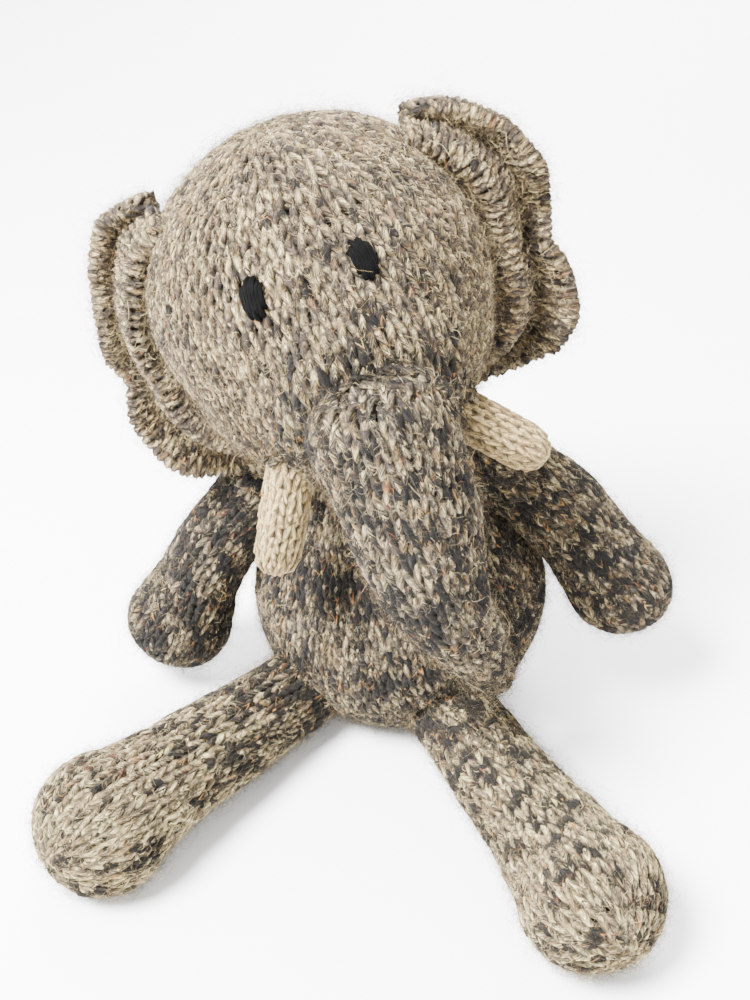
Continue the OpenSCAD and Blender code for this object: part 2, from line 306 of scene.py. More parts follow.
def yarn_material(name, light, grey, dark, neps=0.0, bump=0.00035):
    """Matte, slightly furry wool."""
    material = bpy.data.materials.new(name)
    material.use_nodes = True
    tree = material.node_tree
    shader = tree.nodes["Principled BSDF"]
    tweed = tree.nodes.new("ShaderNodeGroup")
    tweed.node_tree = TWEED
    tree.links.new(add_attribute(tree, "yarn").outputs["Vector"], tweed.inputs["Yarn"])
    tree.links.new(add_attribute(tree, "dark_share").outputs["Fac"], tweed.inputs["Dark Share"])
    tree.links.new(add_attribute(tree, "painted_shade").outputs["Fac"], tweed.inputs["Depth"])
    tweed.inputs["Light"].default_value = (*light, 1)
    tweed.inputs["Grey"].default_value = (*grey, 1)
    tweed.inputs["Dark"].default_value = (*dark, 1)
    tweed.inputs["Nep Share"].default_value = neps
    relief = tree.nodes.new("ShaderNodeBump")
    relief.inputs["Strength"].default_value = 1.0
    relief.inputs["Distance"].default_value = bump
    tree.links.new(tweed.outputs["Height"], relief.inputs["Height"])
    tree.links.new(relief.outputs["Normal"], shader.inputs["Normal"])
    tree.links.new(tweed.outputs["Color"], shader.inputs["Base Color"])
    shader.inputs["Roughness"].default_value = WOOL_ROUGHNESS
    shader.inputs["Specular IOR Level"].default_value = WOOL_GLOSS
    shader.inputs["Sheen Weight"].default_value = WOOL_SHEEN
    shader.inputs["Sheen Roughness"].default_value = WOOL_SHEEN_ROUGHNESS
    shader.inputs["Sheen Tint"].default_value = WOOL_SHEEN_TINT
    return material


DARK_WOOL = yarn_material(
    "dark_tweed", light=(0.62, 0.495, 0.275), grey=(0.065, 0.051, 0.041), dark=(0.002, 0.002, 0.002)
)


def smooth_noise(x, seed):
    """Repeatable wandering value between -1 and 1 along x."""
    rng = np.random.default_rng(seed)
    knots = rng.uniform(-1, 1, NOISE_KNOTS)
    cell = np.floor(x).astype(int)
    t = x - cell
    t = t * t * (3 - 2 * t)
    return knots[cell % NOISE_KNOTS] * (1 - t) + knots[(cell + 1) % NOISE_KNOTS] * t


def unit(v):
    return v / np.maximum(np.linalg.norm(v, axis=-1, keepdims=True), 1e-12)


def build_mesh(name, points, face_sets, material, attributes):
    """A smooth mesh from points (n, 3), face arrays of any one size each, and named values for each point."""
    mesh = bpy.data.meshes.new(name)
    mesh.vertices.add(len(points))
    mesh.vertices.foreach_set("co", points.astype(np.float32).ravel())
    corners = np.concatenate([faces.ravel() for faces in face_sets])
    sizes = np.concatenate([np.full(len(faces), faces.shape[1]) for faces in face_sets])
    mesh.loops.add(len(corners))
    mesh.loops.foreach_set("vertex_index", corners.astype(np.int32))
    mesh.polygons.add(len(sizes))
    mesh.polygons.foreach_set("loop_start", (np.cumsum(sizes) - sizes).astype(np.int32))
    mesh.polygons.foreach_set("use_smooth", np.ones(len(sizes), bool))
    for label, values in attributes.items():
        kind, field = ("FLOAT_VECTOR", "vector") if values.ndim == 2 else ("FLOAT", "value")
        layer = mesh.attributes.new(label, kind, "POINT")
        layer.data.foreach_set(field, values.astype(np.float32).ravel())
    mesh.update()
    mesh.validate()
    mesh.materials.append(material)
    item = bpy.data.objects.new(name, mesh)
    bpy.context.scene.collection.objects.link(item)
    return item


def sweep_yarn(centres, normals, radii, seed, sides):
    """A tube along centres. Gives its points and faces, and the yarn's length and the way round as (x, y)."""
    n = len(centres)
    tangent = unit(np.gradient(centres, axis=0))
    side = unit(np.cross(tangent, normals))
    up = np.cross(side, tangent)
    length = np.concatenate([[0], np.cumsum(np.linalg.norm(np.diff(centres, axis=0), axis=1))])
    turn = np.arange(sides) / sides
    cosine = np.cos(2 * np.pi * turn)[None, :, None]
    sine = np.sin(2 * np.pi * turn)[None, :, None]
    ring = cosine * up[:, None] + sine * side[:, None]
    points = (centres[:, None] + ring * radii[:, None, None]).reshape(-1, 3)
    row = np.arange(n - 1)[:, None] * sides
    k = np.arange(sides)[None, :]
    after = (k + 1) % sides
    faces = np.stack([row + k, row + after, row + sides + after, row + sides + k], -1).reshape(-1, 4)
    yarn = np.zeros((n, sides, 3))
    yarn[..., 0] = length[:, None]
    # The way round runs up and back down again, so that no seam shows
    yarn[..., 1] = seed + np.abs(turn * 2 - 1)[None, :] * 0.98 + 0.01
    return points, faces, yarn.reshape(-1, 3)


# One stitch is a loop of so many points. Sizes along and across it are shares of a stitch and a row
SAMPLES = 10
LOOP_LEAN = 0.235
LOOP_RISE = 1.06
LOOP_DEPTH = 0.00090
LOOP_SEAT = 0.55
LOOP_PINCH = 0.13
# How far a hand knitter's loops stray sideways, along and outwards, and how the yarn's thickness varies
STRAY_ACROSS = 0.09
STRAY_ALONG = 0.13
STRAY_OUT = 0.00022
SLUB = 0.12
FINE_SLUB = 0.07
YARN_END = (0.3, 0.6, 0.85)
# Where the girth grows or shrinks, columns of stitches start or end thin, spread evenly round the piece
SPREAD = 0.618034
FADE_COLUMNS = 3
LEAST_COLUMNS = 5
THINNEST = 0.3
# Painted shade on the side of the yarn that faces inwards, where shadow falls between the stitches
YARN_SIDES = 5
UNDERSIDE_SHADE = np.array((0.0, 0.58, 0.95, 0.95, 0.58))
# Loose hairs: how many to a metre of yarn, their reach, half their thickness and how many are dark or long
HAIR_DENSITY = 1900
HAIR_REACH = 0.0042
HAIR_HALF = 0.000034
HAIR_POINTS = 6
DARK_HAIRS = 0.40
LONG_HAIRS = 0.07
LONG_HAIR = 1.8
HAIR_FLOOR = 0.0003
# A hair leans off the yarn's normal, starts in the yarn, and curls by its own share and number of turns
HAIR_LEAN = 0.6
HAIR_START = 0.0006
HAIR_STAND = 0.85
HAIR_SIZES = (0.3, 1.0)
HAIR_CURLS = (0.2, 0.7)
HAIR_BENDS = (3.0, 7.5)
# A girth is measured round so many points, and no loop reaches past the end margin of its piece
GIRTH_POINTS = 97
END_MARGIN = 0.0006
# The steps over which a surface's slope is taken, down it in metres and round it in radians
SLOPE_STEP = 0.0004
SLOPE_TURN = 0.02
# In yarn radii: how high the yarn shows, and how deep the dark shadow sheet lies under the surface
YARN_TOP = 1.3
SHADOW_SHEET_INSET = 0.35
# Shadow sheets and fillings stop this short of the ends of their surface, in metres
SHEET_AND_FILLING_MARGIN = 0.0003


def normals_of(surface, v, turn):
    down = surface(v + SLOPE_STEP, turn) - surface(v - SLOPE_STEP, turn)
    round_it = surface(v, turn + SLOPE_TURN) - surface(v, turn - SLOPE_TURN)
    return unit(np.cross(round_it, down))


def outward_sign(surface, length):
    """+1 where normals_of() points out of the piece, and -1 where it points in."""
    turn = np.linspace(0, 2 * np.pi, 64, endpoint=False)
    v = np.full(64, length * 0.45)
    ring = surface(v, turn)
    facing = (normals_of(surface, v, turn) * (ring - ring.mean(0))).sum()
    return 1.0 if facing > 0 else -1.0


def count_stitches(surface, rows, row_h, stitch_w, lift):
    """Stitches that each row has room for, at the height where the yarn shows."""
    turn = np.linspace(0, 2 * np.pi, GIRTH_POINTS)
    girth = []
    for j in range(rows):
        v = np.full(GIRTH_POINTS, (j + 0.5) * row_h)
        ring = surface(v, turn) + normals_of(surface, v, turn) * lift
        girth.append(np.linalg.norm(np.diff(ring, axis=0), axis=1).sum())
    return np.array(girth) / stitch_w


def knit(surface, length, seed, stitch_w, row_h, yarn_r, rows):
    """One yarn knitted round the surface: centre line, outward normals, radii, and its place (v, turn)."""
    total = max(3, int(round(length / row_h)))
    row_h = length / total
    first, last = rows if rows else (0, total)
    sign = outward_sign(surface, length)
    stitches = count_stitches(surface, total, row_h, stitch_w, sign * yarn_r * YARN_TOP)
    columns = int(np.ceil(stitches.max())) + 1
    rank = np.empty(columns)
    rank[np.argsort((np.arange(columns) * SPREAD) % 1)] = np.arange(columns)
    width = np.clip((stitches[:, None] - rank[None, :]) / FADE_COLUMNS + 0.5, 0, 1)
    width[:, rank < LEAST_COLUMNS] = 1
    width[width < THINNEST] = 0
    share = width / width.sum(1, keepdims=True)
    middle = (np.cumsum(share, 1) - share / 2) * 2 * np.pi
    row, column = np.nonzero(share > 0)
    keep = (row >= first) & (row < last)
    row, column = row[keep], column[keep]
    w = share[row, column] * 2 * np.pi
    centre = middle[row, column]
    s = (np.arange(SAMPLES) / SAMPLES)[None, :]
    x = (s - 0.5) + LOOP_LEAN * np.sin(4 * np.pi * s)
    y = -LOOP_RISE * np.cos(2 * np.pi * s)
    z = -LOOP_DEPTH * np.cos(4 * np.pi * s) * (yarn_r / YARN_R) + yarn_r * LOOP_SEAT
    path = np.arange(row.size * SAMPLES) / SAMPLES
    turn = (centre[:, None] + x * w[:, None]).ravel()
    turn = turn + smooth_noise(path * 0.9, seed) * STRAY_ACROSS * np.repeat(w, SAMPLES)
    v = (row[:, None] + centre[:, None] / (2 * np.pi) + y).ravel()
    v = v + smooth_noise(path * 0.7, seed + 1) * STRAY_ALONG
    v = np.clip(v * row_h, END_MARGIN, length - END_MARGIN)
    lift = np.broadcast_to(z, (row.size, SAMPLES)).ravel() + smooth_noise(path * 0.8, seed + 2) * STRAY_OUT
    base = surface(v, turn)
    normal = normals_of(surface, v, turn) * sign
    radii = np.broadcast_to(1 - LOOP_PINCH * np.cos(4 * np.pi * s), (row.size, SAMPLES)).ravel() * yarn_r
    slubs = SLUB * smooth_noise(path * 0.45, seed + 3)
    radii = radii * (1 + slubs + FINE_SLUB * smooth_noise(path * 2.3, seed + 4))
    radii[:3] *= YARN_END
    radii[-3:] *= YARN_END[::-1]
    return base + normal * lift[:, None], normal, radii, v, turn


def closed_lathe(surface, length, inset, around=48, part=(0, 1), step=0.004, caps=True):
    """Plain closed mesh under a surface: points, and its side and end faces."""
    rows = max(8, int(length * (part[1] - part[0]) / step))
    sign = outward_sign(surface, length)
    v = np.linspace(SHEET_AND_FILLING_MARGIN + part[0] * length, part[1] * length - SHEET_AND_FILLING_MARGIN, rows)
    turn = np.arange(around) / around * 2 * np.pi
    vv, tt = np.meshgrid(v, turn, indexing="ij")
    points = surface(vv.ravel(), tt.ravel())
    points = points - normals_of(surface, vv.ravel(), tt.ravel()) * inset * sign
    points = np.concatenate([points, [points[:around].mean(0), points[-around:].mean(0)]])
    i = np.arange(rows - 1)[:, None] * around
    k = np.arange(around)[None, :]
    after = (k + 1) % around
    sides = np.stack([i + k, i + around + k, i + around + after, i + after], -1).reshape(-1, 4)
    k, after = k.ravel(), after.ravel()
    last = (rows - 1) * around
    start_cap = np.stack([np.full(around, rows * around), k, after], -1)
    end_cap = np.stack([np.full(around, rows * around + 1), last + after, last + k], -1)
    face_sets = [sides, start_cap, end_cap] if caps else [sides]
    return points, [faces[:, ::-1] if sign > 0 else faces for faces in face_sets]


def knitted(name, surface, length, material, seed, dark=0.0, shade=None, shape=None, rows=None,
            stitch_w=STITCH_W, row_h=ROW_H, yarn_r=YARN_R, shadow_sheet_step=0.004, caps=True):
    """A knitted skin: its yarn and, under it, a sheet painted black as the shadow between the stitches. Also
    gives the yarn's line, for hairs.
    """
    centres, normal, radii, v, turn = knit(surface, length, seed, stitch_w, row_h, yarn_r, rows)
    total = max(3, int(round(length / row_h)))
    part = (rows[0] / total, rows[1] / total) if rows else (0, 1)
    shadow_sheet, shadow_sheet_faces = closed_lathe(
        surface, length, yarn_r * SHADOW_SHEET_INSET, part=part, step=shadow_sheet_step, caps=caps
    )
    if shape:
        centres = shape(centres)
        shadow_sheet = shape(shadow_sheet)
    points, faces, yarn = sweep_yarn(centres, normal, radii, seed, YARN_SIDES)
    shares = np.full(len(centres), dark) + (shade(v, turn) if shade else 0)
    count = len(points)
    no_yarn = np.tile((0.0, seed + 0.5, 0.0), (len(shadow_sheet), 1))
    # The yarn gets painted shade on its inward side, and the sheet under it is painted fully in shade, as the
    # shadow seen between stitches
    item = build_mesh(
        name,
        np.concatenate([points, shadow_sheet]),
        [faces] + [part_faces + count for part_faces in shadow_sheet_faces],
        material,
        {
            "yarn": np.concatenate([yarn, no_yarn]),
            "dark_share": np.concatenate([np.repeat(shares, YARN_SIDES), np.zeros(len(shadow_sheet))]),
            "painted_shade": np.concatenate([np.tile(UNDERSIDE_SHADE, len(centres)), np.ones(len(shadow_sheet))]),
        },
    )
    return item, (centres, normal, yarn[::YARN_SIDES], shares)


def loose_hairs(name, line, material, seed, bare=None):
    """Loose curly wool hairs standing out of the yarn, but not where bare() says."""
    centres, normals, yarn, shares = line
    rng = np.random.default_rng(seed)
    length = np.linalg.norm(np.diff(centres, axis=0), axis=1).sum()
    count = int(length * HAIR_DENSITY)
    pick = rng.integers(0, len(centres), count)
    if bare is not None:
        pick = pick[~bare(centres[pick])]
        count = len(pick)
    outward = unit(normals[pick] + rng.normal(0, HAIR_LEAN, (count, 3)))
    sideways = unit(np.cross(outward, rng.normal(0, 1, (count, 3))))
    third = np.cross(outward, sideways)
    size = HAIR_REACH * rng.uniform(*HAIR_SIZES, count) ** 1.3
    size = size * np.where(rng.random(count) < LONG_HAIRS, LONG_HAIR, 1.0)
    t = np.linspace(0, 1, HAIR_POINTS)[None, :, None]
    curl = rng.uniform(*HAIR_CURLS, (count, 1, 1))
    phase = rng.uniform(0, 6.28, (count, 1, 1))
    bend = rng.uniform(*HAIR_BENDS, (count, 1, 1))
    path = outward[:, None] * (t * HAIR_STAND)
    path = path + sideways[:, None] * curl * (np.sin(bend * t + phase) - np.sin(phase))
    path = path + third[:, None] * curl * (np.cos(bend * t + phase) - np.cos(phase))
    path = centres[pick][:, None] + normals[pick][:, None] * HAIR_START + path * size[:, None, None]
    path[..., 2] = np.maximum(path[..., 2], HAIR_FLOOR)
    half = HAIR_HALF * np.linspace(1.0, 0.5, HAIR_POINTS)[None, :, None]
    across = unit(rng.normal(0, 1, (count, 1, 3)))
    points = np.stack([path - across * half, path + across * half], 2).reshape(-1, 3)
    start = (np.arange(count) * HAIR_POINTS * 2)[:, None] + (np.arange(HAIR_POINTS - 1) * 2)[None, :]
    faces = np.stack([start, start + 1, start + 3, start + 2], -1).reshape(-1, 4)
    hair_shares = shares[pick] + np.where(rng.random(count) < DARK_HAIRS, 0.5, 0.0)
    tint = yarn[pick]
    tint[:, 1] = np.floor(tint[:, 1]) + rng.uniform(0.02, 0.98, count)
    return build_mesh(
        name, points, [faces], material,
        {
            "yarn": np.repeat(tint, HAIR_POINTS * 2, axis=0),
            "dark_share": np.repeat(hair_shares, HAIR_POINTS * 2),
            "painted_shade": np.zeros(len(points)),
        },
    )


FILLING_WHITE = (0.86, 0.85, 0.80, 1)
FILLING_ROUGHNESS = 0.9
FILLING_INSET = 0.0022


def filling_material():
    """Loose white polyester fibre."""
    material = bpy.data.materials.new("filling_fibre")
    material.use_nodes = True
    shader = material.node_tree.nodes["Principled BSDF"]
    shader.inputs["Base Color"].default_value = FILLING_WHITE
    shader.inputs["Roughness"].default_value = FILLING_ROUGHNESS
    return material


FILLING = filling_material()


def filling(name, surface, length, body, node, part=(0, 1), shape=None):
    """The stuffing inside a skin, a little in from its surface."""
    points, face_sets = closed_lathe(surface, length, FILLING_INSET, 32, part)
    if shape:
        points = shape(points)
    item = build_mesh(name, points, face_sets, FILLING, {})
    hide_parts(node)
    if body:
        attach(item, body)
    return item


def profile_line(points, step=0.0005):
    """Evenly spaced radii and heights along a profile of (radius, height) points, and its length."""
    points = np.array(points, float)
    reach = np.concatenate([[0], np.cumsum(np.linalg.norm(np.diff(points, axis=0), axis=1))])
    fine = np.linspace(0, reach[-1], int(reach[-1] / step) + 2)
    return np.interp(fine, reach, points[:, 0]), np.interp(fine, reach, points[:, 1]), reach[-1]


def ball_arc(height, radius, start, end):
    turn = np.radians(np.linspace(start, end, 24))
    return [(max(0.0, radius * math.cos(t)), height + radius * math.sin(t)) for t in turn]


def lathe(profile, spine, lump=0.0006, seed=0):
    """A round surface along a centre line, with hand-stuffed lumps. Gives the surface and its length."""
    radii, heights, length = profile_line(profile)
    fine = np.linspace(0, length, len(radii))

    def surface(v, turn):
        r = np.interp(v, fine, radii)
        h = np.interp(v, fine, heights)
        centre, a, b = spine(h)
        direction = np.cos(turn)[:, None] * a + np.sin(turn)[:, None] * b
        rings = np.sin(h * 95 + seed + 2 * np.cos(turn + seed))
        swell = lump * (rings + np.sin(2 * turn + h * 60 + seed * 2))
        return centre + direction * (r + swell * np.clip(r / 0.01, 0, 1))[:, None]

    return surface, length


def straight_spine(start, end):
    start, end = np.array(start, float), np.array(end, float)
    axis = unit(end - start)
    a = unit(np.cross(axis, (0, -1, 0)))
    b = np.cross(axis, a)

    def spine(h):
        ones = np.ones((len(h), 1))
        return start + h[:, None] * axis, ones * a, ones * b

    return spine


def joint_at(name):
    """Where a joint of the frame is."""
    return np.array(next(j for j in frame["joints"] if j["name"] == name)["pos_m"])


# Knitting pressed on the floor keeps this share of its roundness
FLOOR_GIVE = 0.04


def pushed_out(balls, floor_z=None):
    """Gives a function that moves points out of balls, such as a limb's round root, and off the floor."""

    def shape(points):
        points = points.copy()
        for centre, radius in balls:
            away = points - centre
            far = np.linalg.norm(away, axis=1, keepdims=True)
            points = np.where(far < radius, centre + away / np.maximum(far, 1e-9) * radius, points)
        if floor_z is not None:
            low = points[:, 2] < floor_z
            points[low, 2] = floor_z + (points[low, 2] - floor_z) * FLOOR_GIVE
        return points

    return shape


def pear(low_r, high_r, rise):
    """Profile of two balls and the cone that touches both."""
    slant = math.degrees(math.asin((low_r - high_r) / rise))
    return ball_arc(0, low_r, -90, slant) + ball_arc(rise, high_r, slant, 90)


BELLY_CENTRE = (0.0, 0.0, 0.0398)
BELLY_R = 0.0492
NECK_R = 0.0212
NECK_RISE = 0.050
ARM_ROOT_R = 0.0112
LEG_ROOT_R = 0.0120
YARN_COVER = 0.0039
YARN_FLOOR = 0.0018
NECK_POINT = joint_at("neck_turn")

torso_surface, torso_length = lathe(
    pear(BELLY_R, NECK_R, NECK_RISE), straight_spine(BELLY_CENTRE, NECK_POINT), lump=0.0007, seed=1
)
torso_shape = pushed_out(
    [
        (joint_at("left_arm_swing"), ARM_ROOT_R + YARN_COVER),
        (joint_at("right_arm_swing"), ARM_ROOT_R + YARN_COVER),
        (joint_at("left_leg_spread"), LEG_ROOT_R + YARN_COVER),
        (joint_at("right_leg_spread"), LEG_ROOT_R + YARN_COVER),
    ],
    YARN_FLOOR,
)


def hump(x, middle, width):
    """A smooth rise from 0 to 1 at the middle, and back to 0."""
    return np.exp(-(((x - middle) / width) ** 2))


def torso_shade(v, turn):
    """Darker courses across the belly, where the ball of yarn happened to be dark."""
    height = v / torso_length
    return 0.03 + 0.10 * hump(height, 0.46, 0.03) + 0.11 * hump(height, 0.64, 0.05)


torso, torso_line = knitted(
    "torso_knit", torso_surface, torso_length, DARK_WOOL, 1, shade=torso_shade, shape=torso_shape
)
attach(torso, "torso")
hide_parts("torso_skin")
torso_fuzz = loose_hairs("torso_fuzz", torso_line, DARK_WOOL, 101)
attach(torso_fuzz, "torso")
filling("torso_filling", torso_surface, torso_length, "torso", "torso_stuffing",
        shape=torso_shape)

# ---- Head ----
# The largest ball, knitted in paler tweed from the neck to the crown in the same stockinette.
# Stuffed hard and sewn on tilted to its right, with hollows where trunk, tusks and neck are set in.
HEAD_CENTRE = np.array((-0.0263, -0.0088, 0.1643))
HEAD_UP = unit(np.array((-0.309, 0.0, 0.951)))
CHIN_DROP = 0.014
CROWN_R = 0.0492
CROWN_FLATTEN = 0.90
CHIN_R = 0.0462
TRUNK_ROOT_R = 0.0174
TUSK_R = 0.0049
TRUNK_HOLLOW = 0.0030
EYE_CLEARING = 0.0088
CHEEK_SWELL = 0.0085
CHEEK_START = 0.019
CHEEK_REACH = 0.012
HEAD_WOOL = yarn_material(
    "head_tweed", light=(0.72, 0.560, 0.285), grey=(0.085, 0.062, 0.046), dark=(0.003, 0.0025, 0.002)
)
head_spine = straight_spine(HEAD_CENTRE - HEAD_UP * CHIN_DROP, HEAD_CENTRE)
crown = [(r, CHIN_DROP + (h - CHIN_DROP) * CROWN_FLATTEN) for r, h in ball_arc(CHIN_DROP, CROWN_R, 4, 90)]
head_surface, head_length = lathe(
    ball_arc(0, CHIN_R, -90, -12) + ball_arc(CHIN_DROP, CROWN_R, -12, 0) + crown,
    head_spine, lump=0.0005, seed=4,
)
head_hollows = pushed_out(
    [
        (NECK_POINT, NECK_R + YARN_COVER),
        (joint_at("trunk_lift"), TRUNK_ROOT_R + TRUNK_HOLLOW),
        (joint_at("left_tusk_sway"), TUSK_R + YARN_COVER),
        (joint_at("right_tusk_sway"), TUSK_R + YARN_COVER),
    ]
)


def head_shape(points):
    """Hollows for what is sewn on, and cheeks that swell up to meet the trunk."""
    away = np.linalg.norm(points - joint_at("trunk_lift"), axis=1)
    swell = CHEEK_SWELL * np.exp(-((np.clip(away - CHEEK_START, 0, None) / CHEEK_REACH) ** 2))
    return head_hollows(points + unit(points - HEAD_CENTRE) * swell[:, None])


def head_shade(v, turn):
    """Darker wool round the trunk's root and at the chin."""
    away = np.linalg.norm(head_surface(v, turn) - joint_at("trunk_lift"), axis=1)
    chin = np.clip(1 - v / (0.45 * head_length), 0, 1)
    return -0.035 + 0.12 * np.exp(-((away / 0.033) ** 4)) + 0.05 * chin


head, head_line = knitted(
    "head_knit", head_surface, head_length, HEAD_WOOL, 2, shade=head_shade, shape=head_shape
)
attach(head, "head")
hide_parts("head_skin")


def near_eyes(points):
    """Where loose hairs would lie over the eyes."""
    close = np.zeros(len(points), bool)
    for side in ("left", "right"):
        low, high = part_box(side + "_eye")
        middle = (np.array(low) + np.array(high)) / 2
        close |= np.linalg.norm(points - middle, axis=1) < EYE_CLEARING
    return close


head_fuzz = loose_hairs("head_fuzz", head_line, HEAD_WOOL, 102, bare=near_eyes)
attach(head_fuzz, "head")
filling("head_filling", head_surface, head_length, "head", "head_stuffing", shape=head_shape)

# ---- Neck seam ----
# The head is held on by a ring of whip stitches in the torso's own yarn.
# The yarn winds round the join, going into each piece by turns, and sinks into it; its colour is darkened
# with painted shade, as it lies in shadow there.
SEAM_DARK_SHARE = 0.07
SEAM_SHADOW = 0.25


def whip_stitch(name, centre, direction, ring_r, material, body, node, seed, stitch=0.0052, coil=0.0012,
                yarn_r=0.00085):
    """Yarn coiled round the circle where two pieces meet."""
    direction = unit(np.array(direction, float))
    a = unit(np.cross(direction, (0.31, -0.9, 0.29)))
    b = np.cross(direction, a)
    stitches = max(6, int(2 * math.pi * ring_r / stitch))
    t = np.linspace(0, 2 * np.pi, stitches * 12)
    outward = np.cos(t)[:, None] * a + np.sin(t)[:, None] * b
    coil_turn = t * stitches
    line = np.array(centre) + outward * (ring_r + coil * np.cos(coil_turn))[:, None]
    line = line + direction * (coil * 1.3 * np.sin(coil_turn))[:, None]
    normal = unit(outward * np.cos(coil_turn)[:, None] + direction * np.sin(coil_turn)[:, None])
    radii = yarn_r * (1 + 0.12 * smooth_noise(t * 9, seed))
    points, faces, yarn = sweep_yarn(line, normal, radii, seed, YARN_SIDES)
    shares = np.full(len(points), SEAM_DARK_SHARE)
    # Painted shade, the same all along the seam
    shadow = np.full(len(points), SEAM_SHADOW)
    item = build_mesh(name, points, [faces], material, {"yarn": yarn, "dark_share": shares, "painted_shade": shadow})
    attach(item, body)
    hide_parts(node)
    return item


NECK_DIRECTION = unit(np.array((-0.14, -0.09, 0.63)))
NECK_SEAM_TURN = math.radians(42)
NECK_SEAM_R = NECK_R + 0.0022
whip_stitch(
    "neck_whip_stitch",
    NECK_POINT + NECK_DIRECTION * NECK_SEAM_R * math.cos(NECK_SEAM_TURN),
    NECK_DIRECTION, NECK_SEAM_R * math.sin(NECK_SEAM_TURN),
    DARK_WOOL, "neck_ring", "neck_seam", 31,
)

# ---- Eyes ----
# Two upright ovals in black yarn, each of seven satin stitches laid side by side.
# Sewn straight through the knitting, so the ends of every stitch dive into the head.
EYE_WIDTH = 0.0068
EYE_HEIGHT = 0.0106
EYE_STRANDS = 7
EYE_YARN_R = 0.00082
EYE_YARN_SIDES = 7
EYE_PROUD = 0.0024
# The outer stitches are shorter. Each bulges, dives in at its ends, and starts a little off its neighbour
EYE_ROUND = 2.6
EYE_SHORTEST = 0.30
EYE_BULGE = 0.0007
EYE_DIVE = 0.0032
EYE_STAGGER = 0.0004
EYE_BLACK = (0.002, 0.002, 0.002, 1)
STRAND_POINTS = 15


def black_wool():
    """Plain black wool with the same twist as the tweed."""
    material = bpy.data.materials.new("black_yarn")
    material.use_nodes = True
    tree = material.node_tree
    shader = tree.nodes["Principled BSDF"]
    tweed = tree.nodes.new("ShaderNodeGroup")
    tweed.node_tree = TWEED
    tree.links.new(add_attribute(tree, "yarn").outputs["Vector"], tweed.inputs["Yarn"])
    relief = tree.nodes.new("ShaderNodeBump")
    relief.inputs["Strength"].default_value = 0.9
    relief.inputs["Distance"].default_value = 0.0003
    tree.links.new(tweed.outputs["Height"], relief.inputs["Height"])
    tree.links.new(relief.outputs["Normal"], shader.inputs["Normal"])
    shader.inputs["Base Color"].default_value = EYE_BLACK
    shader.inputs["Roughness"].default_value = 0.75
    shader.inputs["Specular IOR Level"].default_value = 0.05
    return material


BLACK_WOOL = black_wool()


def add_eye(side, seed):
    low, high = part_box(side + "_eye")
    middle = (np.array(low) + np.array(high)) / 2
    out = unit(middle - HEAD_CENTRE)
    across = unit(np.cross(HEAD_UP, out))
    up = np.cross(out, across)
    sets = []
    points = []
    yarns = []
    count = 0
    rise = CROWN_R + EYE_PROUD
    for k in range(EYE_STRANDS):
        place = (k + 0.5) / EYE_STRANDS * 2 - 1
        x = place * (EYE_WIDTH / 2 - EYE_YARN_R * 0.6)
        half = EYE_HEIGHT / 2 * (1 - abs(place) ** EYE_ROUND) ** 0.5
        half = max(half, EYE_HEIGHT * EYE_SHORTEST)
        t = np.linspace(-1, 1, STRAND_POINTS)
        y = t * half - EYE_STAGGER * (1 if k % 2 else -1)
        bulge = EYE_BULGE * (1 - place**2) - EYE_DIVE * np.abs(t) ** 8
        sink = (x**2 + y**2) / (2 * rise)
        line = HEAD_CENTRE + across * x + up * y[:, None] + out * (rise + bulge - sink)[:, None]
        facing = np.tile(out, (STRAND_POINTS, 1))
        radii = np.full(STRAND_POINTS, EYE_YARN_R)
        strand, faces, yarn = sweep_yarn(line, facing, radii, seed + k, EYE_YARN_SIDES)
        points.append(strand)
        sets.append(faces + count)
        yarns.append(yarn)
        count += len(strand)
    item = build_mesh(side + "_eye_satin_stitch", np.concatenate(points), sets, BLACK_WOOL,
                      {"yarn": np.concatenate(yarns)})
    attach(item, "head")
    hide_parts(side + "_eye")


add_eye("left", 41)
add_eye("right", 51)

# ---- Trunk ----
# A tapering tube in the body's yarn, fuller at the root, hanging over the belly to a rounded tip.
# One length of knitting, made as an upper and a lower piece; its centre line bends away from the head and
# curls towards the tip.
TRUNK_ROOT = joint_at("trunk_lift")
TRUNK_BEND = joint_at("trunk_curl")
TRUNK_LOW = np.array((0.0175, -0.0700, 0.0770))
TRUNK_TIP = np.array((0.0285, -0.0600, 0.0510))
# Radii at the bend, low down and at the tip, and how far along the trunk the first two are
TRUNK_BEND_R = 0.0158
TRUNK_BEND_AT = 0.034
TRUNK_LOW_R = 0.0105
TRUNK_LOW_AT = 0.066
TRUNK_TIP_R = 0.0049
# The upper part ends this far past the round end of the root
TRUNK_UPPER = 0.022


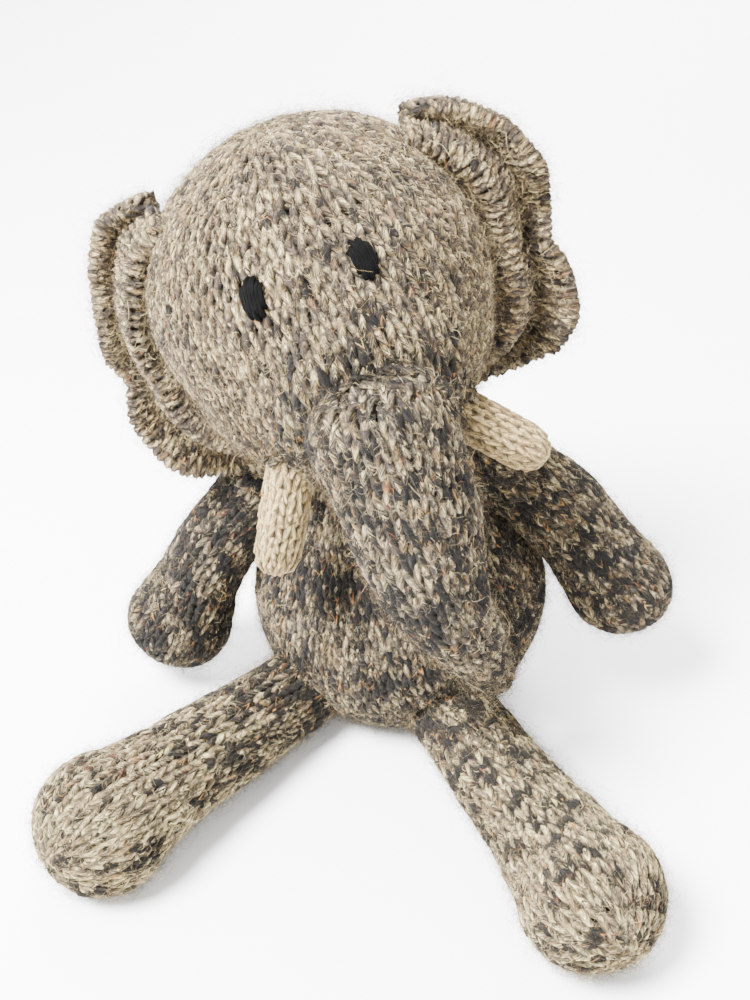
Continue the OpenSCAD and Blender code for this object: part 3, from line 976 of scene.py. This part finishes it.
def bent_spine(points):
    """A smooth centre line through the points, straight beyond its ends. Height 0 is at the first point."""
    points = np.array(points, float)
    chord = np.concatenate([[0], np.cumsum(np.linalg.norm(np.diff(points, axis=0), axis=1))])
    slopes = np.gradient(points, chord, axis=0)
    fine = np.linspace(0, chord[-1], 200)
    cell = np.clip(np.searchsorted(chord, fine, side="right") - 1, 0, len(chord) - 2)
    gap = (chord[cell + 1] - chord[cell])[:, None]
    t = (fine - chord[cell])[:, None] / gap
    path = (2 * t**3 - 3 * t**2 + 1) * points[cell] + (t**3 - 2 * t**2 + t) * gap * slopes[cell]
    path = path + (3 * t**2 - 2 * t**3) * points[cell + 1] + (t**3 - t**2) * gap * slopes[cell + 1]
    reach = np.concatenate([[0], np.cumsum(np.linalg.norm(np.diff(path, axis=0), axis=1))])
    tangent = unit(np.gradient(path, axis=0))

    def spine(h):
        inside = np.clip(h, 0, reach[-1])
        centre = np.stack([np.interp(inside, reach, path[:, i]) for i in range(3)], 1)
        axis = unit(np.stack([np.interp(inside, reach, tangent[:, i]) for i in range(3)], 1))
        centre = centre + axis * (h - inside)[:, None]
        a = unit(np.cross(axis, (0, -1, 0)))
        return centre, a, np.cross(axis, a)

    return spine, reach[-1]


trunk_spine, trunk_reach = bent_spine([TRUNK_ROOT, TRUNK_BEND, TRUNK_LOW, TRUNK_TIP])
trunk_surface, trunk_length = lathe(
    ball_arc(0, TRUNK_ROOT_R, -90, 4)
    + [(TRUNK_BEND_R, TRUNK_BEND_AT), (TRUNK_LOW_R, TRUNK_LOW_AT)]
    + ball_arc(trunk_reach, TRUNK_TIP_R, 5, 90),
    trunk_spine, lump=0.0006, seed=7,
)
trunk_rows = int(round(trunk_length / ROW_H))
trunk_split = int(round((TRUNK_ROOT_R * math.pi / 2 + TRUNK_UPPER) / ROW_H))
trunk_axis = unit(TRUNK_BEND - TRUNK_ROOT)
lower_axis = unit(TRUNK_LOW - TRUNK_BEND)


def trunk_shade(v, turn):
    """A dark band below the bend and a paler one at the tip."""
    return 0.045 + 0.08 * hump(v, 0.075, 0.008) - 0.03 * hump(v, 0.1, 0.01)


for name, rows, bodies, bend_point, axis, seed in (
    ("trunk_base", (0, trunk_split), ("head", "trunk_base"), TRUNK_ROOT, trunk_axis, 8),
    ("trunk_tip", (trunk_split, trunk_rows), ("trunk_base", "trunk_tip"), TRUNK_BEND, lower_axis, 9),
):
    piece, line = knitted(
        name + "_knit", trunk_surface, trunk_length, DARK_WOOL, seed, shade=trunk_shade, rows=rows
    )
    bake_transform(piece)
    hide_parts(name + "_skin")
    fuzz = loose_hairs(name + "_fuzz", line, DARK_WOOL, 100 + seed)
    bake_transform(fuzz)
    part = (rows[0] / trunk_rows, rows[1] / trunk_rows)
    stuffing = filling(name + "_filling", trunk_surface, trunk_length, None, name + "_stuffing",
                       part=part)
    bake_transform(stuffing)

TRUNK_SEAM_R = TRUNK_ROOT_R + 0.0026
TRUNK_SEAM_TURN = math.radians(58)
whip_stitch(
    "trunk_whip_stitch",
    TRUNK_ROOT - trunk_axis * TRUNK_SEAM_R * math.cos(TRUNK_SEAM_TURN),
    -trunk_axis, TRUNK_SEAM_R * math.sin(TRUNK_SEAM_TURN),
    DARK_WOOL, "head", "trunk_seam", 32,
)

# ---- Tusks ----
# Two short cream fingers of smooth yarn, each ten stitches round, with a blunt tip.
# The left one was sewn on pointing out sideways, and the right one hangs down.
CREAM_COTTON = yarn_material(
    "cream_cotton", light=(0.66, 0.49, 0.225), grey=(0.50, 0.35, 0.155), dark=(0.30, 0.20, 0.10),
    neps=-0.3, bump=0.00018,
)
TUSK_STITCH_W = 0.0046
TUSK_TAPER = 0.0002
TUSK_SEAM_BACK = 0.0052
TUSK_SEAM_R = 0.0068
TUSK_TIPS = {"left": np.array((0.0350, -0.0450, 0.1275)), "right": np.array((-0.0385, -0.0525, 0.0945))}

for side, seed in (("left", 11), ("right", 12)):
    root = joint_at(side + "_tusk_sway")
    spine = straight_spine(root, TUSK_TIPS[side])
    reach = np.linalg.norm(TUSK_TIPS[side] - root)
    surface, length = lathe(
        ball_arc(0, TUSK_R, -90, 0) + ball_arc(reach, TUSK_R - TUSK_TAPER, 0, 90),
        spine, lump=0.0002, seed=seed,
    )
    piece, line = knitted(side + "_tusk_knit", surface, length, CREAM_COTTON, seed, dark=-0.3,
                          stitch_w=TUSK_STITCH_W)
    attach(piece, side + "_tusk")
    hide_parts(side + "_tusk_skin")
    filling(side + "_tusk_filling", surface, length, side + "_tusk", side + "_tusk_stuffing")
    away = unit(root - TUSK_TIPS[side])
    whip_stitch(
        side + "_tusk_whip_stitch", root + away * TUSK_SEAM_BACK, away, TUSK_SEAM_R,
        HEAD_WOOL, "head", side + "_tusk_seam", seed + 20,
        stitch=0.004, coil=0.0008, yarn_r=0.0006,
    )

# ---- Ears ----
# Flat double-layered flaps knitted outwards from the side of the head, with frilled two-lobed rims.
# Each is stitched on along its inner edge, so its root stands up as a roll and a deep fold lies behind it.
# Reach of each rim from the middle of the head, in millimetres, at angles up from the line of the ears
EAR_RIMS = {
    "left": {
        -55: 58, -46: 72, -38: 80, -28: 81.5, -18: 76.5, -11: 70,
        -2: 72, 8: 73.5, 20: 71, 31: 65.5, 41: 55.5,
    },
    "right": {
        -66: 58, -58: 69, -50: 76, -41: 79, -31: 79, -20: 75.5, -12: 68,
        -4: 70, 6: 66.5, 18: 66, 32: 65, 43: 55,
    },
}
EAR_THICK = 0.0054
EAR_ROOT_REACH = 0.0520
EAR_DEPTH = 0.038
EAR_SET_BACK = 0.0035
EAR_ROOT_TUCK = 0.0050
EAR_ROLL = 0.0115
EAR_VALLEY = 0.0070
EAR_LIP = 0.0065
EAR_WAVE = 0.0035
EAR_RIPPLE = 0.0015
# Where these lie, and how long the rounded edges are, as shares of the way from the head to the rim
EAR_ROOT_ROUND = 0.08
EAR_ROLL_AT = 0.24
EAR_VALLEY_AT = 0.62
EAR_LIP_AT = 0.7
EAR_RIM_AT = 0.85
EAR_RIM_ROUND = 0.135
HEAD_X = unit(np.cross((0.0, 1.0, 0.0), HEAD_UP))
YAW = math.radians(8)
HEAD_SIDE = HEAD_X * math.cos(YAW) + np.array((0.0, math.sin(YAW), 0.0))
HEAD_BACK = np.cross(HEAD_UP, HEAD_SIDE)


def ear_surface(name, side, seed, back):
    """A frilled flap as a flat bag: v runs from head to rim, and turn goes down its front and up its back."""
    length = EAR_DEPTH
    angles = np.radians(list(EAR_RIMS[name]))
    reaches = np.array(list(EAR_RIMS[name].values())) / 1000

    def surface(v, turn):
        p = np.clip(v / length, 0, 1)
        q = np.arcsin(np.cos(turn)) * 2 / np.pi
        # Rounded ends, so the front and back meet in a soft edge at top, bottom and rim
        ends = np.sqrt(np.clip(1 - q**6, 0, 1))
        rim = np.sqrt(np.clip(1 - np.clip((p - EAR_RIM_AT) / EAR_RIM_ROUND, 0, 1) ** 2, 0.0, 1))
        root = np.sqrt(np.clip(1 - np.clip((EAR_ROOT_ROUND - p) / EAR_ROOT_ROUND, 0, 1) ** 2, 0.0, 1))
        thick = EAR_THICK / 2 * np.sign(np.sin(turn)) * ends * rim * root
        angle = angles[0] + (q + 1) / 2 * (angles[-1] - angles[0])
        outer = np.interp(angle, angles, reaches)
        inner = EAR_ROOT_REACH - EAR_ROOT_TUCK * np.clip((angle - 0.15) / 0.5, 0, 1)
        far = inner + (outer - inner) * p
        frill = EAR_WAVE * p * np.sin(angle * 9 + seed) + EAR_RIPPLE * p * np.sin(angle * 17 + seed)
        # A roll by the head, a valley behind it, and a rim that turns forward again
        fold = EAR_VALLEY * hump(p, EAR_VALLEY_AT, 0.14) - EAR_ROLL * hump(p, EAR_ROLL_AT, 0.17)
        fold = fold - EAR_LIP * np.clip((p - EAR_LIP_AT) / 0.3, 0, 1) ** 2
        x = far * np.cos(angle)
        z = far * np.sin(angle)
        y = EAR_SET_BACK + fold + frill + thick + back * p
        return HEAD_CENTRE + side * x[:, None] * HEAD_SIDE + y[:, None] * HEAD_BACK + z[:, None] * HEAD_UP

    return surface, length


def ear_shade(v, turn):
    """Darker wool in the fold and in the lower lobe."""
    q = np.arcsin(np.cos(turn)) * 2 / np.pi
    fold = hump(v / EAR_DEPTH, EAR_VALLEY_AT, 0.2)
    return -0.06 + 0.05 * fold + 0.04 * np.clip(-q, 0, 1) * fold + 0.02 * np.clip(-q, 0, 1)


for side, sign, seed, back in (("left", 1, 21, 0.0), ("right", -1, 22, 0.008)):
    surface, length = ear_surface(side, sign, seed, back)
    piece, line = knitted(
        side + "_ear_knit", surface, length, HEAD_WOOL, seed, shade=ear_shade, shadow_sheet_step=0.001, caps=False
    )
    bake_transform(piece)
    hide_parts(side + "_ear")
    fuzz = loose_hairs(side + "_ear_fuzz", line, HEAD_WOOL, 100 + seed)
    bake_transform(fuzz)

# ---- Ear seams ----
# Each ear is whipped to the head along the inner edge of its roll.
# The stitches are small and in the head's own yarn, so they sink between the ear and the head.
EAR_STITCHES = 15
EAR_STITCH_POINTS = 200
EAR_YARN_R = 0.00085
# The seam's ends in degrees, its height over the crown, and how far its coil goes out and back
EAR_SEAM_ENDS = (-38, 40)
EAR_SEAM_PROUD = 0.0032
EAR_COIL_OUT = 0.0011
EAR_COIL_BACK = 0.0015
EAR_SEAM_BACK = 0.001
for side, sign, seed in (("left", 1, 61), ("right", -1, 62)):
    angles = np.radians(np.linspace(*EAR_SEAM_ENDS, EAR_STITCH_POINTS))
    coil_turn = np.linspace(0, 2 * np.pi * EAR_STITCHES, EAR_STITCH_POINTS)
    far = CROWN_R + EAR_SEAM_PROUD + EAR_COIL_OUT * np.cos(coil_turn)
    aside = (sign * far * np.cos(angles))[:, None] * HEAD_SIDE
    line = HEAD_CENTRE + aside + (far * np.sin(angles))[:, None] * HEAD_UP
    line = line + (EAR_COIL_BACK * np.sin(coil_turn) + EAR_SEAM_BACK)[:, None] * HEAD_BACK
    outward = unit(line - HEAD_CENTRE)
    radii = EAR_YARN_R * (1 + 0.1 * smooth_noise(coil_turn * 0.3, seed))
    points, faces, yarn = sweep_yarn(line, outward, radii, seed, YARN_SIDES)
    zeros = np.zeros(len(points))
    piece = build_mesh(side + "_ear_whip_stitch", points, [faces], HEAD_WOOL,
                       {"yarn": yarn, "dark_share": zeros, "painted_shade": zeros})
    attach(piece, "head")
    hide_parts(side + "_ear_seam")

# ---- Arms ----
# Plain stockinette tubes with a fuller mitten end, closed at both ends and lightly stuffed.
# Each is whipped to the shoulder, hangs round the belly and can swing and lift there.
SHOULDER_SEAM_BACK = 0.0105
SHOULDER_SEAM_R = 0.0098
WRIST_R = 0.0126
WRIST_START = 0.030
WRIST_END = 0.046
HAND_R = 0.0160
ARM_DARK_SHARES = {"left": 0.05, "right": 0.10}
HANDS = {"left": np.array((0.0771, -0.0129, 0.0510)), "right": np.array((-0.0812, -0.0041, 0.0266))}
ELBOW_OUT = {"left": 0.003, "right": -0.003}
for side, seed in (("left", 13), ("right", 14)):
    root = joint_at(side + "_arm_swing")
    hand = HANDS[side]
    middle = (root + hand) / 2 + np.array((ELBOW_OUT[side], -0.001, 0.002))
    spine, reach = bent_spine([root, middle, hand])
    surface, length = lathe(
        ball_arc(0, ARM_ROOT_R, -90, 0)
        + [(WRIST_R, WRIST_START), (WRIST_R, WRIST_END)]
        + ball_arc(reach, HAND_R, -20, 90),
        spine, lump=0.0005, seed=seed,
    )
    piece, line = knitted(side + "_arm_knit", surface, length, DARK_WOOL, seed, dark=ARM_DARK_SHARES[side])
    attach(piece, side + "_arm")
    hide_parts(side + "_arm_skin")
    fuzz = loose_hairs(side + "_arm_fuzz", line, DARK_WOOL, 100 + seed)
    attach(fuzz, side + "_arm")
    filling(side + "_arm_filling", surface, length, side + "_arm", side + "_arm_stuffing")
    away = unit(root - hand)
    whip_stitch(
        side + "_shoulder_whip_stitch", root + away * SHOULDER_SEAM_BACK, away, SHOULDER_SEAM_R,
        DARK_WOOL, side + "_shoulder_ring", side + "_shoulder_seam", seed + 20,
    )

# ---- Legs ----
# Two tubes in creamier wool with big rounded feet, lying out along the floor.
# Closed at both ends, stuffed, and whipped to the front of the seat.
CREAM_WOOL = yarn_material(
    "cream_tweed", light=(0.92, 0.765, 0.385), grey=(0.31, 0.232, 0.130), dark=(0.003, 0.0025, 0.002),
    neps=0.01,
)
HIP_SEAM_BACK = 0.0108
HIP_SEAM_R = 0.0105
ANKLE_R = 0.0140
ANKLE_START = 0.030
ANKLE_END = 0.055
FOOT_R = 0.0195
floor_shape = pushed_out([], YARN_FLOOR)
FEET = {"left": np.array((0.0540, -0.1196, 0.0199)), "right": np.array((-0.0930, -0.0924, 0.0199))}
for side, seed in (("left", 15), ("right", 16)):
    root = joint_at(side + "_leg_spread")
    foot = FEET[side]
    spine, reach = bent_spine([root, (root + foot) / 2 + np.array((0, 0, 0.001)), foot])
    surface, length = lathe(
        ball_arc(0, LEG_ROOT_R, -90, 0)
        + [(ANKLE_R, ANKLE_START), (ANKLE_R, ANKLE_END)]
        + ball_arc(reach, FOOT_R, -30, 90),
        spine, lump=0.0006, seed=seed,
    )

    def leg_shade(v, turn, length=length):
        """Dark at the hip, paler towards the foot."""
        return 0.17 - 0.15 * np.clip(v / (0.70 * length), 0, 1)

    piece, line = knitted(
        side + "_leg_knit", surface, length, CREAM_WOOL, seed, shade=leg_shade, shape=floor_shape
    )
    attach(piece, side + "_leg")
    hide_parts(side + "_leg_skin")
    fuzz = loose_hairs(side + "_leg_fuzz", line, CREAM_WOOL, 100 + seed)
    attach(fuzz, side + "_leg")
    filling(side + "_leg_filling", surface, length, side + "_leg", side + "_leg_stuffing",
            shape=floor_shape)
    away = unit(root - foot)
    whip_stitch(
        side + "_hip_whip_stitch", root + away * HIP_SEAM_BACK, away, HIP_SEAM_R,
        CREAM_WOOL, side + "_hip_ring", side + "_hip_seam", seed + 20,
    )
